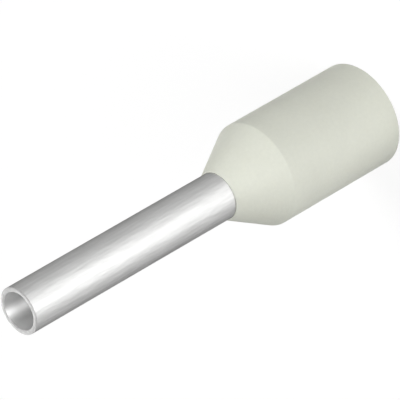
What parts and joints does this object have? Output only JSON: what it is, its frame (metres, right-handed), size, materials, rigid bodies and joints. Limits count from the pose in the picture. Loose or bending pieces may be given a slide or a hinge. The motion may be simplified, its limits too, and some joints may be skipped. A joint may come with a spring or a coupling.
{
  "type": "wire ferrule",
  "caption": "Insulated crimp ferrule: a slim tinned metal sleeve for a stripped wire end, held in a flared white plastic collar that takes the insulation.",
  "frame": {"origin": "centre of the collar's wire-entry face, which is the ring that the part stands on", "axes": "+Z along the common axis of sleeve and collar, from the wire entry to the pin's tip; X and Y are any two across it, because the part is round"},
  "size_m": [0.0032, 0.0032, 0.014],
  "materials": {
    "sleeve": "satin tin plating on copper, with fine drawing lines along the tube",
    "collar": "smooth moulded polypropylene in off-white, semi-matte"
  },
  "bodies": {
    "root": {"sleeve": "sleeve", "collar": "collar"}
  },
  "joints": []
}
